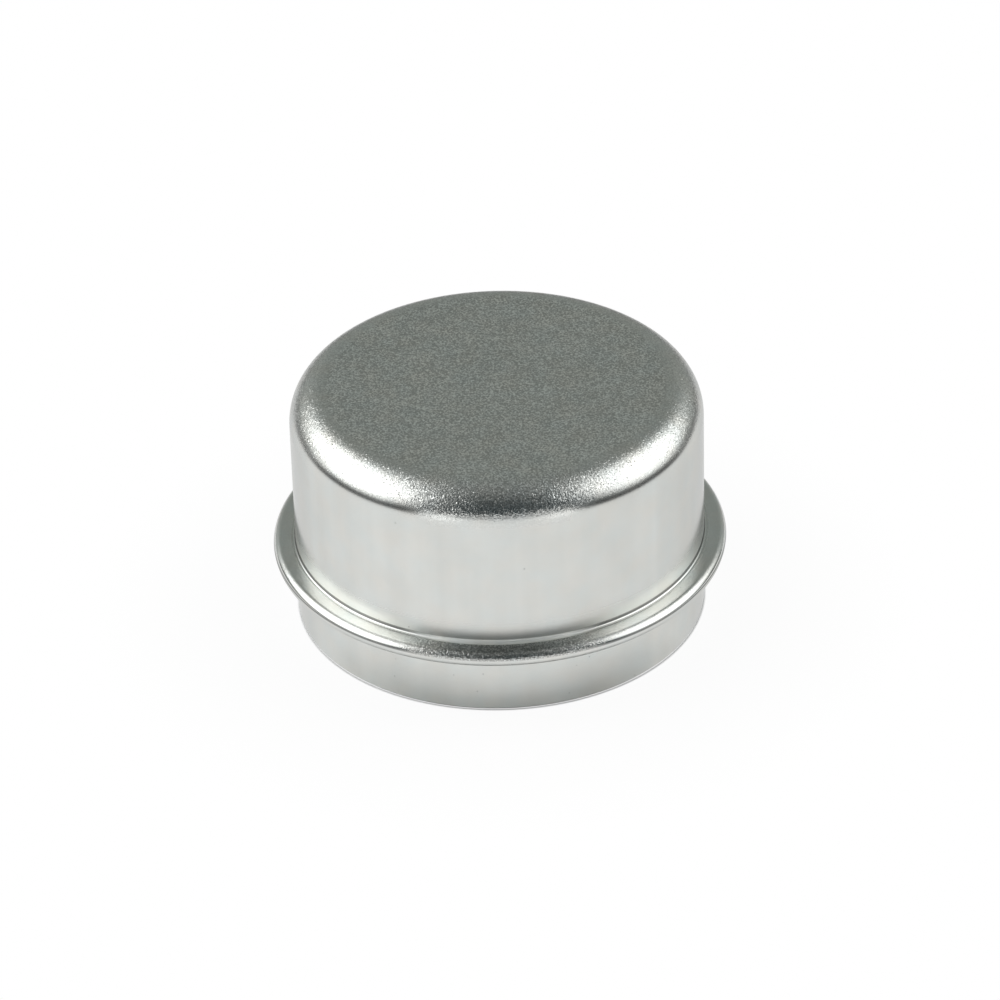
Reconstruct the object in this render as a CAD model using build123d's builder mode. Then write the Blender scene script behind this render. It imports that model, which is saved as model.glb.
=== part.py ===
"""Hub grease cap: a cup drawn from steel sheet, with a bead folded round it above a press-fit skirt.

The cap stands on its open rim. Its axis is Z, and the origin is the middle of the rim's foot.
"""

from build123d import *
import os

# Driving dimensions in millimetres
sheet = 0.9  # thickness of the zinc-plated steel sheet
skirt_diameter = 50.3  # outside of the skirt, pressed into the hub's bore
skirt_length = 7.85  # rim's foot up to the underside of the bead
wall_step = 0.05  # how far the drawn wall above the bead stands out past the skirt
cup_rise = 20.75  # top of the bead up to the crown
crown_corner = 4.5  # outside radius between the crown and the wall
bead_reach = 2.7  # how far the bead stands out past the wall
hem_gap = 0.15  # air left between the two leaves of the bead
root_bend = 0.4  # outside radius where the wall turns out into the bead
neck_bend = 0.3  # outside radius where the bead turns down into the skirt
rim_lead = 0.25  # bevel on the rim's outer edge, so that it starts into the bore
rim_break = 0.1  # bevel on the rim's inner edge, where the trimmed sheet is deburred

# Radii and levels that follow from them
skirt_radius = skirt_diameter / 2
cup_radius = skirt_radius + wall_step
bead_radius = cup_radius + bead_reach
bead_thickness = 2 * sheet + hem_gap
fold_radius = bead_thickness / 2
bead_top = skirt_length + bead_thickness
height = bead_top + cup_rise

with BuildPart() as grease_cap:
    with BuildSketch(Plane.XZ) as sheet_section:
        # Outer face of the sheet, from the middle of the crown down to the rim
        with BuildLine():
            crown = Line((0, height), (cup_radius - crown_corner, height))
            corner = JernArc(crown @ 1, crown % 1, crown_corner, -90)
            wall = Line(corner @ 1, (cup_radius, bead_top + root_bend))
            root = JernArc(wall @ 1, wall % 1, root_bend, 90)
            upper_leaf = Line(root @ 1, (bead_radius - fold_radius, bead_top))
            fold = JernArc(upper_leaf @ 1, upper_leaf % 1, fold_radius, -180)
            lower_leaf = Line(fold @ 1, (skirt_radius + neck_bend, skirt_length))
            neck = JernArc(lower_leaf @ 1, lower_leaf % 1, neck_bend, 90)
            skirt = Line(neck @ 1, (skirt_radius, 0))
            # The inner face follows it, one sheet thickness inside
            offset(amount=sheet, side=Side.RIGHT)
        make_face()
        # Trimmed edge of the sheet at the rim, bevelled outside and inside
        chamfer(sheet_section.vertices().group_by(Axis.Y)[0].sort_by(Axis.X)[-1], rim_lead)
        chamfer(sheet_section.vertices().group_by(Axis.Y)[0].sort_by(Axis.X)[0], rim_break)
    revolve(axis=Axis.Z)

grease_cap.part.label = "grease_cap"

os.makedirs("parts", exist_ok=True)
export_step(grease_cap.part, "parts/grease_cap.step")
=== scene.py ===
"""Looks of the hub grease cap: drawn zinc-plated steel on a pale card between soft lights.

Lengths are in metres and +Z is up. The origin is the middle of the rim's foot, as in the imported
part.
"""

import logging
import math
from dataclasses import dataclass
from enum import Enum

import bmesh
import bpy
from mathutils import Matrix, Vector


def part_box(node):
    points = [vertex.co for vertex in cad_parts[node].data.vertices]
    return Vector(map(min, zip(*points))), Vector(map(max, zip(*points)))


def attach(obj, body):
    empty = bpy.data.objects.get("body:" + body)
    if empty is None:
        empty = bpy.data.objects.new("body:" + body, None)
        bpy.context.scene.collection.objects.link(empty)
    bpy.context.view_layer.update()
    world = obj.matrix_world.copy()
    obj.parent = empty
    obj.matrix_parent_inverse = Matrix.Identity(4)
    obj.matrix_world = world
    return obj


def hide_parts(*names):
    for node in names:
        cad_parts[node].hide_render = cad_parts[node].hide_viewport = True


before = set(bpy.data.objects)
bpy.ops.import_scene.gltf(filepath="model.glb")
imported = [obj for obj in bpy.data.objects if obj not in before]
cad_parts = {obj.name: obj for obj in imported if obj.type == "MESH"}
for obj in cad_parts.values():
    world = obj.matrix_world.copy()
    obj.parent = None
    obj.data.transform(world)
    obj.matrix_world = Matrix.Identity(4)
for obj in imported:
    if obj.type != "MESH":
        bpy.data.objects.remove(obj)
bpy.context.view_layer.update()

MM = 0.001
Colour = tuple[float, float, float]
Stops = tuple[tuple[float, float | Colour], ...]
log = logging.getLogger("grease_cap")


class Skin(Enum):
    """How forming and use left a stretch of the sheet: its grain, facets, roughness and tone, some
    tones with painted light or shade.
    """

    GRAINED = (1.25, 0.7, 0.28, 1.0)
    # Coarse grain with a darker tone, which is painted shade on the bead's front
    COARSE = (2.0, 0.5, 0.28, 0.74)
    BENT = (0.6, 0.75, 0.28, 1.0)
    SATIN = (0.2, 0.3, 0.28, 1.08)
    DULL = (0.4, 0.3, 0.28, 1.0)
    SCUFFED = (0.0, 0.0, 0.38, 1.0)
    # Rough, with a lighter tone, which is a painted highlight on the root's front
    RUBBED = (0.0, 0.0, 0.5, 1.4)
    # Dark tone: painted shade in the root's crease, a painted dark reflection line round the bead's
    # fold, and the rim's darker edges
    SOILED = (0.0, 0.0, 0.3, 0.35)
    BURNISHED = (0.0, 0.0, 0.2, 1.0)
    POLISHED = (0.0, 0.0, 0.1, 1.0)

    @property
    def number(self) -> int:
        """Returns the skin's place among all skins, by which a mesh keeps it."""
        return list(Skin).index(self)


Bands = tuple[tuple[float, Skin, Skin], ...]  # degrees of a bend, its skin all round and in front


class SheetPen:
    """Draws the sheet's section in the XZ plane as one chain of edges, stretch after stretch."""

    SKIN = "skin"  # layer that keeps the number of a vertex's skin all round
    FRONT = "front"  # layer that keeps the number of its skin in front
    FACET = 6.0  # degrees that one edge of a bend turns through at most
    GUARD = 0.12 * MM  # from a run's ends to its guard points, which keep its shading flat
    GUARD_SHARE = 0.25  # most of a short run that lies between an end and its guard point

    def __init__(self, bm: bmesh.types.BMesh, start: Vector) -> None:
        """Sets the pen down, heading outwards along +X.

        Args:
            bm: The mesh to draw into.
            start: Where the chain begins.
        """
        self.bm = bm
        self.skin = bm.verts.layers.int.new(self.SKIN)
        self.front = bm.verts.layers.int.new(self.FRONT)
        self.tip = bm.verts.new(start)
        self.heading = 0.0

    def direction(self, turn: float = 0.0) -> Vector:
        """Returns the unit vector along the heading, turned to the left by that many degrees."""
        angle = math.radians(self.heading + turn)
        return Vector((math.cos(angle), 0, math.sin(angle)))

    def turn(self, degrees: float) -> None:
        """Turns the pen on the spot, to the left if degrees is positive."""
        self.heading += degrees

    def mark(self, skin: Skin, front: Skin | None) -> None:
        """Keeps the numbers of the skins at the pen's tip, all round and in front."""
        self.tip[self.skin] = skin.number
        self.tip[self.front] = (front or skin).number

    def step(self, length: float, skin: Skin, front: Skin | None = None) -> None:
        """Draws one straight edge, which ends with this skin.

        Args:
            length: Length of the edge.
            skin: The skin of its end.
            front: Its skin in front, if it has another there.
        """
        self.tip = bmesh.ops.extrude_vert_indiv(self.bm, verts=[self.tip])["verts"][0]
        bmesh.ops.translate(self.bm, verts=[self.tip], vec=self.direction() * length)
        self.mark(skin, front)

    def run(self, length: float, skin: Skin, front: Skin | None = None) -> None:
        """Draws a straight run with a guard point near each end.

        Args:
            length: Length of the run.
            skin: The skin of the run.
            front: Its skin in front, if it has another there.
        """
        guard = min(self.GUARD, length * self.GUARD_SHARE)
        for edge in (guard, length - 2 * guard, guard):
            self.step(edge, skin, front)

    def bend(self, radius: float, degrees: float, skin: Skin, front: Skin | None = None) -> None:
        """Draws a bend that leaves along the heading it ends on.

        Args:
            radius: Radius of the drawn face.
            degrees: Angle of the bend, positive to the left.
            skin: The skin of the bend.
            front: Its skin in front, if it has another there.
        """
        self.mark(skin, front)
        arc = bmesh.ops.spin(
            self.bm,
            geom=[self.tip],
            cent=self.tip.co + self.direction(math.copysign(90, degrees)) * radius,
            axis=(0, -1, 0),
            angle=math.radians(degrees),
            steps=math.ceil(abs(degrees) / self.FACET),
        )
        self.tip = next(item for item in arc["geom_last"] if isinstance(item, bmesh.types.BMVert))
        self.turn(degrees)


@dataclass(frozen=True)
class Run:
    """A straight stretch of the sheet."""

    length: float
    skin: Skin
    front: Skin | None = None

    def draw(self, pen: SheetPen) -> None:
        """Draws the run on the outer face."""
        pen.run(self.length, self.skin, self.front)

    def draw_back(self, pen: SheetPen, sheet: float) -> None:
        """Draws the run on the inner face, where it is as long, on the way back."""
        pen.run(self.length, Skin.DULL)


@dataclass(frozen=True)
class Fade(Run):
    """A straight stretch of the sheet, over which its skin fades in from the stretch before."""

    def draw(self, pen: SheetPen) -> None:
        """Draws the stretch on the outer face."""
        pen.step(self.length, self.skin, self.front)


@dataclass(frozen=True)
class Bend:
    """A bent stretch of the sheet, with the radius of its outer face."""

    radius: float
    degrees: float
    skin: Skin
    front: Skin | None = None

    def draw(self, pen: SheetPen) -> None:
        """Draws the bend on the outer face."""
        pen.bend(self.radius, self.degrees, self.skin, self.front)

    def draw_back(self, pen: SheetPen, sheet: float) -> None:
        """Draws the bend on the inner face, one sheet thickness away, on the way back."""
        pen.bend(self.radius + math.copysign(sheet, self.degrees), -self.degrees, Skin.DULL)


class NodeSheet:
    """A node tree under construction, with short ways to add, feed and join nodes."""

    MIX_A, MIX_B, MIX_RESULT = 6, 7, 2  # numbers of a Mix node's sockets for colours

    def __init__(self, tree: bpy.types.NodeTree) -> None:
        """Takes over an empty or emptied node tree."""
        self.tree = tree
        tree.nodes.clear()

    def add(
        self, kind: str, inputs: dict[str | int, object] | None = None, **settings: object
    ) -> bpy.types.Node:
        """Adds a node.

        Args:
            kind: The node's type name.
            inputs: Input name or number to the socket that feeds it, or to its fixed value.
            settings: Attributes of the node.

        Returns:
            The new node.
        """
        node = self.tree.nodes.new(kind)
        for name, value in settings.items():
            setattr(node, name, value)
        for name, value in (inputs or {}).items():
            if isinstance(value, bpy.types.NodeSocket):
                self.tree.links.new(value, node.inputs[name])
            else:
                node.inputs[name].default_value = value
        return node

    def math(self, operation: str, *values: object, clamp: bool = False) -> bpy.types.NodeSocket:
        """Adds a Math node over these sockets or numbers and returns its output."""
        node = self.add(
            "ShaderNodeMath", dict(enumerate(values)), operation=operation, use_clamp=clamp
        )
        return node.outputs[0]

    def vector(self, operation: str, *values: object) -> bpy.types.NodeSocket:
        """Adds a Vector Math node over these sockets or vectors and returns its vector."""
        node = self.add("ShaderNodeVectorMath", dict(enumerate(values)), operation=operation)
        return node.outputs["Vector"]

    def tint(self, factor: object, a: object, b: object, mode: str = "MIX") -> bpy.types.NodeSocket:
        """Adds a Mix node for colours.

        Args:
            factor: Share of colour b.
            a: The colour that it starts from.
            b: The colour that is mixed in.
            mode: How it is mixed in.

        Returns:
            The mixed colour.
        """
        colours = {0: factor, self.MIX_A: a, self.MIX_B: b}
        node = self.add("ShaderNodeMix", colours, data_type="RGBA", blend_type=mode)
        return node.outputs[self.MIX_RESULT]

    def fade(
        self, value: object, start: float, end: float, first: float, last: float
    ) -> bpy.types.NodeSocket:
        """Adds a straight fade.

        Args:
            value: The socket that runs along the fade.
            start: Where the fade begins.
            end: Where the fade ends.
            first: Its level up to the start.
            last: Its level from the end on.

        Returns:
            The fade's output.
        """
        inputs = {
            "Value": value, "From Min": start, "From Max": end, "To Min": first, "To Max": last
        }
        return self.add("ShaderNodeMapRange", inputs).outputs["Result"]

    def noise(self, place: object, size: float, detail: float) -> bpy.types.NodeSocket:
        """Adds a noise texture.

        Args:
            place: The coordinates that it reads.
            size: Size of its largest cells.
            detail: Number of finer layers in it.

        Returns:
            The noise, from 0 to 1.
        """
        inputs = {"Vector": place, "Scale": 1 / size, "Detail": detail}
        return self.add("ShaderNodeTexNoise", inputs).outputs["Fac"]

    def dots(self, place: object, spacing: float, radius: float) -> bpy.types.NodeSocket:
        """Adds scattered round dots.

        Args:
            place: The coordinates that they read.
            spacing: Mean distance between their middles.
            radius: Radius of the largest dots on a surface.

        Returns:
            A mask, which is 1 in the middle of a dot and 0 outside.
        """
        cells = self.add("ShaderNodeTexVoronoi", {"Vector": place, "Scale": 1 / spacing})
        edge = radius / spacing
        return self.fade(cells.outputs["Distance"], edge / 2, edge, 1.0, 0.0)

    def ramp(self, factor: object, stops: Stops) -> bpy.types.NodeSocket:
        """Adds a colour ramp.

        Args:
            factor: The socket that runs along the ramp.
            stops: Place of each stop, and its grey level or colour, in rising order.

        Returns:
            The ramp's colour output.
        """
        node = self.add("ShaderNodeValToRGB", {0: factor})
        elements = node.color_ramp.elements
        while len(elements) < len(stops):
            elements.new(1.0)
        for element, (place, level) in zip(elements, stops):
            element.position = place
            colour = level if isinstance(level, tuple) else (level, level, level)
            element.color = (*colour, 1)
        return node.outputs[0]


@dataclass(frozen=True)
class ZincFinish:
    """Bright zinc plate: grained where the sheet was only bent, burnished where the die drew it."""

    ATTRIBUTES = ("grain", "facets", "roughness", "tone")  # values of a Skin, kept on the mesh

    dark_tone: Colour = (0.615, 0.63, 0.61)
    light_tone: Colour = (0.705, 0.71, 0.685)
    warm_tint: Colour = (1.014, 0.996, 0.98)
    cool_tint: Colour = (0.986, 1.004, 1.012)
    edge_tint: Colour = (0.75, 0.75, 0.75)  # at grazing angles
    grain_size: float = 0.21 * MM
    grain_depth: float = 0.03 * MM
    grain_contrast: float = 3.2
    grain_limits: tuple[float, float] = (-0.26, 0.55)  # least and most it adds to the tone's scale
    facet_size: float = 0.12 * MM
    facet_share: float = 0.6  # of the crystals whose face is tilted
    facet_tilt: float = 0.6  # of the most tilted face
    glint_spacing: float = 1.1 * MM
    glint_radius: float = 0.08 * MM
    glint: float = 1.5  # how much a glint adds to the tone's scale on coarse grain
    mottle_size: float = 5 * MM
    hue_size: float = 3.5 * MM  # size of the warm and cool patches
    hue_contrast: float = 2.6
    band_size: float = 3 * MM  # width of the draw bands that run up the wall
    band_stretch: float = 0.03  # their width over their length
    band_contrast: float = 0.12
    pit_spacing: float = 2.5 * MM
    pit_radius: float = 0.12 * MM
    pit: float = 0.35  # how much a pit takes from the tone

    def material(self) -> bpy.types.Material:
        """Builds the zinc plate's material.

        Returns:
            The material, which reads Object coordinates and the values of the skins on the mesh.
        """
        material = bpy.data.materials.new("zinc_plate")
        material.use_nodes = True
        sheet = NodeSheet(material.node_tree)
        place = sheet.add("ShaderNodeTexCoord").outputs["Object"]
        grained, faceted, roughness, scale = (
            sheet.add("ShaderNodeAttribute", attribute_name=name).outputs["Fac"]
            for name in self.ATTRIBUTES
        )
        mottle = sheet.noise(place, self.mottle_size, detail=3.0)
        tone = sheet.tint(mottle, (*self.dark_tone, 1), (*self.light_tone, 1))
        tinted = sheet.tint(1.0, tone, self.hue(sheet, place), "MULTIPLY")
        grain = sheet.noise(place, self.grain_size, detail=1.0)
        drawn_scale = self.drawn_scale(sheet, place)
        grained_scale = self.grained_scale(sheet, place, grain, grained)
        wear = sheet.tint(faceted, drawn_scale, grained_scale)
        worn = sheet.tint(1.0, tinted, wear, "MULTIPLY")
        skinned = sheet.tint(1.0, worn, scale, "MULTIPLY")
        height = sheet.math("MULTIPLY", grain, grained)
        relief = {"Height": height, "Distance": self.grain_depth, "Strength": 1.0}
        bump = sheet.add("ShaderNodeBump", relief).outputs["Normal"]
        normal = self.faceted_normal(sheet, place, bump, faceted)
        shader = sheet.add(
            "ShaderNodeBsdfPrincipled",
            {
                "Base Color": skinned,
                "Roughness": roughness,
                "Metallic": 1.0,
                "Specular Tint": (*self.edge_tint, 1),
                "Normal": normal,
            },
        )
        sheet.add("ShaderNodeOutputMaterial", {"Surface": shader.outputs["BSDF"]})
        return material

    def hue(self, sheet: NodeSheet, place: object) -> bpy.types.NodeSocket:
        """Tints the tone in warm and cool patches.

        Args:
            sheet: The material's nodes.
            place: Object coordinates.

        Returns:
            The tint to multiply the tone by.
        """
        patches = sheet.noise(place, self.hue_size, detail=2.0)
        offset = 0.5 - self.hue_contrast / 2  # keeps the middle at 0.5
        factor = sheet.math("MULTIPLY_ADD", patches, self.hue_contrast, offset, clamp=True)
        return sheet.tint(factor, (*self.cool_tint, 1), (*self.warm_tint, 1))

    def faceted_normal(
        self, sheet: NodeSheet, place: object, normal: object, faceted: object
    ) -> bpy.types.NodeSocket:
        """Tilts the faces of many crystals, so that they sparkle beside a light.

        Args:
            sheet: The material's nodes.
            place: Object coordinates.
            normal: The normal of the faces that aren't tilted.
            faceted: Share of the tilt.

        Returns:
            The normal with its tilted faces.
        """
        cells = {"Vector": place, "Scale": 1 / self.facet_size}
        crystals = sheet.add("ShaderNodeTexVoronoi", cells).outputs
        pick = sheet.add("ShaderNodeSeparateColor", {0: crystals["Color"]}).outputs["Red"]
        rank = sheet.fade(pick, 0.0, self.facet_share, 1.0, 0.0)
        steepness = sheet.math("MULTIPLY", rank, self.facet_tilt)
        swing = sheet.add("ShaderNodeTexWhiteNoise", {"Vector": crystals["Position"]})
        aside = sheet.vector("SUBTRACT", swing.outputs["Color"], (0.5, 0.5, 0.5))
        reach = sheet.math("MULTIPLY", steepness, faceted)
        scaling = {0: aside, "Scale": reach}
        tilt = sheet.add("ShaderNodeVectorMath", scaling, operation="SCALE").outputs["Vector"]
        return sheet.vector("NORMALIZE", sheet.vector("ADD", normal, tilt))

    def grained_scale(
        self, sheet: NodeSheet, place: object, grain: object, grained: object
    ) -> bpy.types.NodeSocket:
        """Scales the tone where the sheet is grained: dark and light crystals with a few glints.

        Args:
            sheet: The material's nodes.
            place: Object coordinates.
            grain: Noise of the grain.
            grained: Share of grain.

        Returns:
            The scale to multiply the tone by.
        """
        dots = sheet.dots(place, self.glint_spacing, self.glint_radius)
        crystals = sheet.math("MULTIPLY_ADD", grain, self.grain_contrast, -self.grain_contrast / 2)
        speckle = sheet.math("MULTIPLY_ADD", dots, self.glint, crystals)
        low, high = self.grain_limits
        limited = sheet.math("MINIMUM", sheet.math("MAXIMUM", speckle, low), high)
        return sheet.math("MULTIPLY_ADD", limited, grained, 1.0)

    def drawn_scale(self, sheet: NodeSheet, place: object) -> bpy.types.NodeSocket:
        """Scales the tone where the die drew the sheet: faint bands along the draw, and a few pits.

        Args:
            sheet: The material's nodes.
            place: Object coordinates.

        Returns:
            The scale to multiply the tone by.
        """
        drawn_out = sheet.vector("MULTIPLY", place, (1, 1, self.band_stretch))
        bands = sheet.noise(drawn_out, self.band_size, detail=2.0)
        banded = sheet.math("MULTIPLY_ADD", bands, self.band_contrast, 1 - self.band_contrast / 2)
        pits = sheet.dots(place, self.pit_spacing, self.pit_radius)
        return sheet.math("SUBTRACT", banded, sheet.math("MULTIPLY", pits, self.pit))


@dataclass
class GreaseCap:
    """The cap: one drawn sheet with a crown, a wall, a folded bead and a skirt open at its foot."""

    height: float  # rim's foot up to the crown
    bead_radius: float  # outside of the folded bead
    sheet: float = 0.9 * MM
    cup_radius: float = 25.2 * MM  # outside of the drawn wall
    skirt_radius: float = 25.15 * MM  # outside of the skirt
    skirt_length: float = 7.85 * MM  # rim's foot up to the underside of the bead
    crown_corner: float = 4.5 * MM  # between the crown and the wall
    hem_gap: float = 0.15 * MM  # air between the two leaves of the bead
    root_bend: float = 0.4 * MM  # where the wall turns out into the bead
    neck_bend: float = 0.3 * MM  # where the bead turns down into the skirt
    rim_lead: float = 0.25 * MM  # bevel on the rim's outer edge
    rim_break: float = 0.1 * MM  # bevel on the rim's inner edge
    scuffed_foot: float = 3.5 * MM  # lower part of the wall, which the die didn't burnish
    shade_painted_foot: float = 0.14 * MM  # foot of the wall, painted dark as shade in the crease
    shade_painted_bend: float = 42.0  # degrees of the root painted dark as shade too
    # In front, towards the camera, the skins differ: coarser grain, a darker tone on the bead that
    # is painted shade, and a painted highlight on the root
    front_start: float = 0.88  # part of the way to the front where the front's skins start
    front_full: float = 0.95  # part of the way from which only the front's skins are left
    corner_skins: Bands = (  # from the crown down
        (60.0, Skin.BENT, Skin.GRAINED),
        (12.0, Skin.DULL, Skin.GRAINED),
        (18.0, Skin.BURNISHED, Skin.DULL),
    )
    fold_skins: Bands = (  # from the upper leaf down
        # In front the fold has a darker tone, painted shade
        (54.0, Skin.SATIN, Skin.COARSE),
        (20.0, Skin.POLISHED, Skin.COARSE),
        # This band is painted dark round the sides: a painted dark reflection line
        (12.0, Skin.SOILED, Skin.COARSE),
        (94.0, Skin.POLISHED, Skin.BURNISHED),
    )
    spokes: int = 256  # steps round the axis
    weld: float = 0.0015 * MM  # distance within which doubled points are merged
    sharp_angle: float = math.radians(30)  # from which an edge isn't shaded smooth

    def stretches(self) -> list[Run | Bend]:
        """Lists the sheet's stretches.

        Returns:
            The stretches of the outer face, from the middle of the crown down to the skirt.
        """
        fold = self.sheet + self.hem_gap / 2
        bead_top = self.skirt_length + 2 * fold
        fold_centre = self.bead_radius - fold
        wall = self.height - self.crown_corner - bead_top - self.root_bend
        return [
            Run(self.cup_radius - self.crown_corner, Skin.GRAINED),
            *(Bend(self.crown_corner, -degrees, *skins) for degrees, *skins in self.corner_skins),
            Run(wall - self.scuffed_foot, Skin.BURNISHED),
            Fade(self.scuffed_foot - self.shade_painted_foot, Skin.SCUFFED),
            # The wall's foot and the root's lower part are painted dark as shade in the crease; in
            # front the root bend has a painted highlight instead
            Run(self.shade_painted_foot, Skin.SOILED, Skin.SCUFFED),
            Bend(self.root_bend, self.shade_painted_bend, Skin.SOILED, Skin.RUBBED),
            Bend(self.root_bend, 90 - self.shade_painted_bend, Skin.BURNISHED, Skin.RUBBED),
            # In front, the bead's flat has a darker tone, painted shade
            Run(fold_centre - self.cup_radius - self.root_bend, Skin.SATIN, Skin.COARSE),
            *(Bend(fold, -degrees, *skins) for degrees, *skins in self.fold_skins),
            Run(fold_centre - self.skirt_radius - self.neck_bend, Skin.BURNISHED),
            Bend(self.neck_bend, 90, Skin.BURNISHED),
        ]

    def draw_section(self, bm: bmesh.types.BMesh) -> None:
        """Draws the section: down the outer face, round the rim and back up the inner face.

        Args:
            bm: The mesh to draw into.
        """
        pen = SheetPen(bm, Vector((0, 0, self.height)))
        stretches = self.stretches()
        for stretch in stretches:
            stretch.draw(pen)
        skirt = self.skirt_length - self.neck_bend
        pen.run(skirt - self.rim_lead, Skin.BURNISHED)
        rim_land = self.sheet - self.rim_lead - self.rim_break
        # The rim's bevels and land get the dark tone, a darker line along the rim's foot
        for length in (self.rim_lead * math.sqrt(2), rim_land, self.rim_break * math.sqrt(2)):
            pen.turn(-45)
            pen.run(length, Skin.SOILED)
        pen.turn(-45)
        pen.run(skirt - self.rim_break, Skin.DULL)
        for stretch in reversed(stretches):
            stretch.draw_back(pen, self.sheet)

    def spread_skins(self, bm: bmesh.types.BMesh) -> None:
        """Writes the skins' values on the mesh, each vertex between all round and in front.

        Args:
            bm: The cap's mesh, with the numbers of its skins.
        """
        skins = [skin.value for skin in Skin]
        numbers = [bm.verts.layers.int[name] for name in (SheetPen.SKIN, SheetPen.FRONT)]
        for column, name in enumerate(ZincFinish.ATTRIBUTES):
            layer = bm.verts.layers.float.new(name)
            for vert in bm.verts:
                all_round, front = (skins[vert[number]][column] for number in numbers)
                vert[layer] = all_round + self.share_in_front(vert.co) * (front - all_round)

    def share_in_front(self, place: Vector) -> float:
        """Works out how much of the front's skin there is at a place.

        Args:
            place: The place on the cap.

        Returns:
            The share of the front's skin, from 0 to 1.
        """
        way = -place.y / max(place.xy.length, self.weld)
        share = (way - self.front_start) / (self.front_full - self.front_start)
        return min(max(share, 0.0), 1.0)

    def build(self) -> bpy.types.Object:
        """Spins the section into the cap's mesh.

        Returns:
            The cap's object, at the origin.
        """
        bm = bmesh.new()
        self.draw_section(bm)
        bmesh.ops.spin(
            bm,
            geom=bm.verts[:] + bm.edges[:],
            cent=(0, 0, 0),
            axis=(0, 0, 1),
            angle=math.tau,
            steps=self.spokes,
            use_merge=True,
        )
        bmesh.ops.remove_doubles(bm, verts=bm.verts[:], dist=self.weld)
        bmesh.ops.recalc_face_normals(bm, faces=bm.faces[:])
        self.spread_skins(bm)
        mesh = bpy.data.meshes.new("drawn_cap")
        bm.to_mesh(mesh)
        bm.free()
        mesh.shade_smooth()
        mesh.set_sharp_from_angle(angle=self.sharp_angle)
        cap = bpy.data.objects.new("drawn_cap", mesh)
        bpy.context.scene.collection.objects.link(cap)
        return cap

    def dress(self, cap: bpy.types.Object, finish: ZincFinish) -> None:
        """Gives the cap its finish and its place in the frame.

        Args:
            cap: The cap's object.
            finish: The finish to give it.
        """
        cap.data.materials.append(finish.material())
        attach(cap, "root")
        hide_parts("grease_cap")


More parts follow.
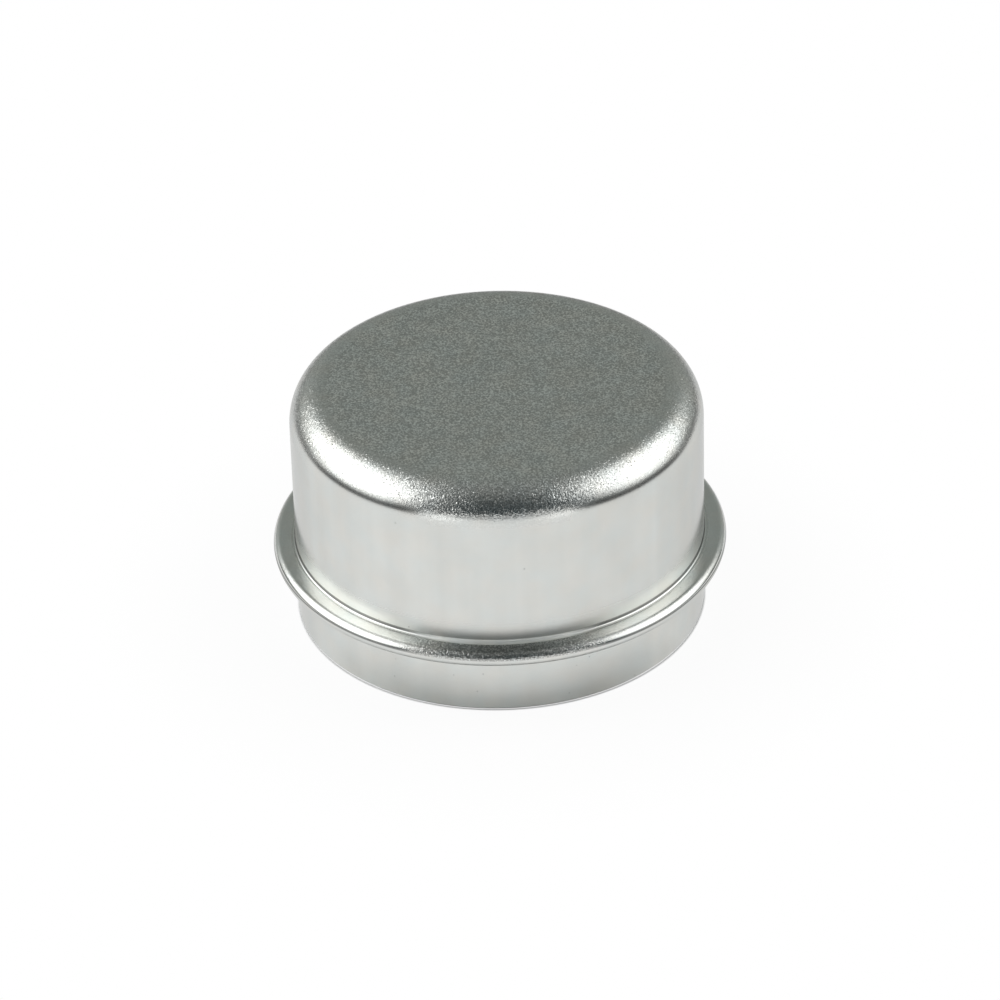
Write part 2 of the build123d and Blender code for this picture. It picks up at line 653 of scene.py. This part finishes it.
@dataclass(frozen=True)
class Card:
    """The pale card that the cap stands on, with its front edge turned up, on a dark table.

    Card and table look plain white to the camera, apart from the cap's shadow. The metal mirrors
    the white card, darker where the cap's foot shades it, and the table as it is.
    """

    half_width: float = 128 * MM
    back: float = 220 * MM  # where the card ends behind the cap
    front: float = -190 * MM  # where its edge is turned up
    lip: float = 31 * MM  # height of the front edge
    edge: float = 6 * MM  # softness of the card's edge
    reach: float = 1.5  # radius of the table
    table_sides: int = 64
    drop: float = 0.02 * MM  # below the rim's foot
    card_tone: Colour = (0.92, 0.92, 0.92)
    table_tone: Colour = (0.05, 0.05, 0.05)
    foot_radius: float = 25.15 * MM  # of the cap
    # From the foot to where the dark line at it starts to fade and ends
    touch: tuple[float, float] = (0.02 * MM, 0.25 * MM)
    # The same for the shade before the foot that the metal mirrors
    contact: tuple[float, float] = (2 * MM, 9 * MM)
    # Parts of the way round to the front where that shade starts and is full
    facing: tuple[float, float] = (0.45, 0.9)
    # Share of plain white that the metal mirrors, left and right: painted light, brighter on the
    # left
    mirrored: tuple[float, float] = (1.0, 0.82)
    fall: float = 60 * MM  # from the middle to where it has these shares
    shadow: float = 0.06  # share of the shadow that the camera sees beside the dark line
    # From the foot to where this shadow starts to fade and ends
    shadow_reach: tuple[float, float] = (3 * MM, 26 * MM)

    def build(self) -> bpy.types.Object:
        """Makes the card and the table.

        Returns:
            The object that holds both.
        """
        bm = bmesh.new()
        level = Matrix.Translation((0, 0, -self.drop))
        bmesh.ops.create_circle(
            bm, cap_ends=True, segments=self.table_sides, radius=self.reach, matrix=level
        )
        place = Matrix.Translation((0, self.front, self.lip / 2))
        upright = Matrix.Rotation(-math.pi / 2, 4, "X")
        shape = Matrix.Diagonal((2 * self.half_width, self.lip, 1, 1))
        bmesh.ops.create_grid(
            bm, x_segments=1, y_segments=1, size=0.5, matrix=place @ upright @ shape
        )
        mesh = bpy.data.meshes.new("card")
        bm.to_mesh(mesh)
        bm.free()
        card = bpy.data.objects.new("card", mesh)
        bpy.context.scene.collection.objects.link(card)
        card.data.materials.append(self.material())
        return card

    def material(self) -> bpy.types.Material:
        """Builds the material of card and table, which is clear from below.

        Returns:
            The material, which reads Object coordinates.
        """
        material = bpy.data.materials.new("pale_card")
        material.use_nodes = True
        sheet = NodeSheet(material.node_tree)
        place = sheet.add("ShaderNodeTexCoord").outputs["Object"]
        split = sheet.add("ShaderNodeSeparateXYZ", {0: place}).outputs
        soft = self.edge / 2
        aside = sheet.math("ABSOLUTE", split["X"])
        between = sheet.fade(aside, self.half_width - soft, self.half_width + soft, 1.0, 0.0)
        before = sheet.fade(split["Y"], self.back - soft, self.back + soft, 1.0, 0.0)
        on_card = sheet.math("MULTIPLY", between, before)
        tone = sheet.tint(on_card, (*self.table_tone, 1), (*self.card_tone, 1))

        out = sheet.add("ShaderNodeVectorMath", {0: place}, operation="LENGTH").outputs["Value"]
        off_foot = sheet.math("ABSOLUTE", sheet.math("SUBTRACT", out, self.foot_radius))
        to_front = sheet.math("DIVIDE", split["Y"], sheet.math("MULTIPLY", out, -1.0))
        before_foot = sheet.fade(to_front, *self.facing, 0.0, 1.0)
        shade = sheet.math("MULTIPLY", before_foot, sheet.fade(off_foot, *self.contact, 1.0, 0.0))
        # Painted light: the white that the metal mirrors falls from the left to the right
        painted_side_light = sheet.fade(split["X"], -self.fall, self.fall, *self.mirrored)
        unshaded = sheet.math("MULTIPLY", painted_side_light, sheet.math("SUBTRACT", 1.0, shade))
        mirrored = sheet.math("MULTIPLY", on_card, unshaded)
        beside = sheet.fade(off_foot, *self.shadow_reach, 1 - self.shadow, 1.0)
        seen = sheet.math("MULTIPLY", beside, sheet.fade(off_foot, *self.touch, 0.0, 1.0))
        rays = sheet.add("ShaderNodeLightPath").outputs
        by_mirror = sheet.math("MAXIMUM", rays["Is Glossy Ray"], rays["Is Transmission Ray"])
        by_camera = sheet.math("MULTIPLY", rays["Is Camera Ray"], seen)
        share = sheet.math("MULTIPLY_ADD", by_mirror, mirrored, by_camera)

        paper = sheet.add("ShaderNodeBsdfDiffuse", {"Color": tone}).outputs[0]
        white = sheet.add("ShaderNodeEmission", {"Color": (1, 1, 1, 1), "Strength": 1.0}).outputs[0]
        top = sheet.add("ShaderNodeMixShader", {0: share, 1: paper, 2: white}).outputs[0]
        clear = sheet.add("ShaderNodeBsdfTransparent").outputs[0]
        below = sheet.add("ShaderNodeNewGeometry").outputs["Backfacing"]
        surface = sheet.add("ShaderNodeMixShader", {0: below, 1: top, 2: clear}).outputs[0]
        sheet.add("ShaderNodeOutputMaterial", {"Surface": surface})
        return material


@dataclass(frozen=True)
class SoftBox:
    """A soft oval light beside the cap, tilted down to it, brightest in its middle."""

    name: str
    azimuth: float  # degrees to the right of the camera, seen from the cap
    elevation: float  # degrees above the cap's foot
    radiance: float  # in its middle
    width: float
    height: float
    roll: float = 0.0  # degrees that its right end is turned up by, as the cap sees it
    distance: float = 0.6
    glow: Stops = ((0.0, 1.0), (0.4, 1.0), (0.7, 0.45), (1.0, 0.0))  # from the middle to the edge

    def build(self) -> bpy.types.Object:
        """Makes the lamp.

        Returns:
            The lamp's object.
        """
        lamp = bpy.data.lights.new(self.name, "AREA")
        lamp.shape = "ELLIPSE"
        lamp.size = self.width
        lamp.size_y = self.height
        area = math.pi / 4 * self.width * self.height
        lamp.energy = math.pi * area * self.radiance
        lamp.use_nodes = True
        sheet = NodeSheet(lamp.node_tree)
        place = sheet.add("ShaderNodeNewGeometry").outputs["Parametric"]
        middle = {0: place, 1: (0.5, 0.5, 0.0)}
        outwards = sheet.add("ShaderNodeVectorMath", middle, operation="DISTANCE").outputs["Value"]
        glow = sheet.ramp(sheet.math("MULTIPLY", outwards, 2.0), self.glow)
        light = sheet.add("ShaderNodeEmission", {"Color": glow, "Strength": 1.0})
        sheet.add("ShaderNodeOutputLight", {"Surface": light.outputs[0]})
        box = bpy.data.objects.new(lamp.name, lamp)
        turn = Matrix.Rotation(math.radians(self.azimuth), 4, "Z")
        tilt = Matrix.Rotation(math.radians(90 - self.elevation), 4, "X")
        roll = Matrix.Rotation(math.radians(self.roll), 4, "Z")
        box.matrix_world = turn @ tilt @ roll @ Matrix.Translation((0, 0, self.distance))
        bpy.context.scene.collection.objects.link(box)
        return box


LIGHTS = (
    SoftBox(
        "left_box", azimuth=-91, elevation=33, radiance=2.5, width=1.28, height=0.86, roll=-13
    ),
    SoftBox(
        "right_box", azimuth=90, elevation=32.5, radiance=1.9, width=1.12, height=0.855, roll=13
    ),
    # Two small lamps near the cap, mirrored low on its corner and on the fold of its bead
    SoftBox(
        "left_glow",
        azimuth=-29,
        elevation=8,
        radiance=1.5,
        width=45 * MM,
        height=35 * MM,
        distance=130 * MM,
    ),
    SoftBox(
        "right_glow",
        azimuth=29,
        elevation=7,
        radiance=1.3,
        width=45 * MM,
        height=30 * MM,
        distance=130 * MM,
    ),
)


@dataclass(frozen=True)
class Room:
    """The room as the metal mirrors it: dark towards the camera, grey above and behind."""

    front: Colour = (0.03, 0.042, 0.047)
    overhead: Colour = (0.19, 0.20, 0.195)
    back: Colour = (0.25, 0.27, 0.255)
    stops: tuple[float, float, float] = (0.1, 0.5, 0.92)  # of these colours, from front to back
    horizon: Colour = (0.14, 0.14, 0.135)  # added low down behind the card
    horizon_reach: float = 0.5  # part of the way up where it has faded to nothing
    horizon_depth: tuple[float, float] = (0.45, 0.9)  # parts of the way back, to start and be full

    def build(self) -> None:
        """Makes the world."""
        world = bpy.data.worlds.new("room")
        world.use_nodes = True
        sheet = NodeSheet(world.node_tree)
        direction = sheet.add("ShaderNodeTexCoord").outputs["Generated"]
        split = sheet.add("ShaderNodeSeparateXYZ", {0: direction}).outputs
        along = sheet.math("MULTIPLY_ADD", split["Y"], 0.5, 0.5)
        walls = sheet.ramp(along, tuple(zip(self.stops, (self.front, self.overhead, self.back))))
        low = sheet.fade(split["Z"], 0.0, self.horizon_reach, 1.0, 0.0)
        glow = sheet.math("MULTIPLY", low, sheet.fade(split["Y"], *self.horizon_depth, 0.0, 1.0))
        lit = sheet.tint(glow, walls, (*self.horizon, 1), "ADD")
        room = sheet.add("ShaderNodeBackground", {"Color": lit, "Strength": 1.0})
        sheet.add("ShaderNodeOutputWorld", {"Surface": room.outputs[0]})
        bpy.context.scene.world = world


@dataclass(frozen=True)
class Camera:
    """The photograph's viewpoint."""

    elevation: float = 33.03  # degrees above the card
    roll: float = -1.66  # degrees round its own line of sight
    distance: float = 650 * MM  # to the place it aims at
    aim: tuple[float, float, float] = (0.13 * MM, -1.05 * MM, 14.39 * MM)
    lens: float = 190.8  # focal length in millimetres, for Blender's usual sensor

    def build(self) -> bpy.types.Object:
        """Makes the camera the scene's own.

        Returns:
            The camera's object.
        """
        data = bpy.data.cameras.new("camera")
        data.lens = self.lens
        data.sensor_fit = "HORIZONTAL"
        data.clip_start = 1 * MM
        camera = bpy.data.objects.new("camera", data)
        turn = Matrix.Rotation(math.radians(90 - self.elevation), 4, "X")
        roll = Matrix.Rotation(math.radians(self.roll), 4, "Z")
        back = Matrix.Translation((0, 0, self.distance))
        camera.matrix_world = Matrix.Translation(self.aim) @ turn @ roll @ back
        bpy.context.scene.collection.objects.link(camera)
        bpy.context.scene.camera = camera
        return camera


def main() -> None:
    """Builds the cap, the card, the lights and the camera."""
    logging.basicConfig(level=logging.INFO, format="%(name)s: %(message)s")
    bpy.context.scene.view_settings.view_transform = "Standard"
    _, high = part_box("grease_cap")
    model = GreaseCap(height=high.z, bead_radius=high.x)
    cap = model.build()
    model.dress(cap, ZincFinish())
    log.info("%s: %d faces", cap.name, len(cap.data.polygons))
    card = Card().build()
    log.info("%s: stage", card.name)
    for light in LIGHTS:
        log.info("%s: lamp", light.build().name)
    Room().build()
    Camera().build()


if __name__ == "__main__":
    main()
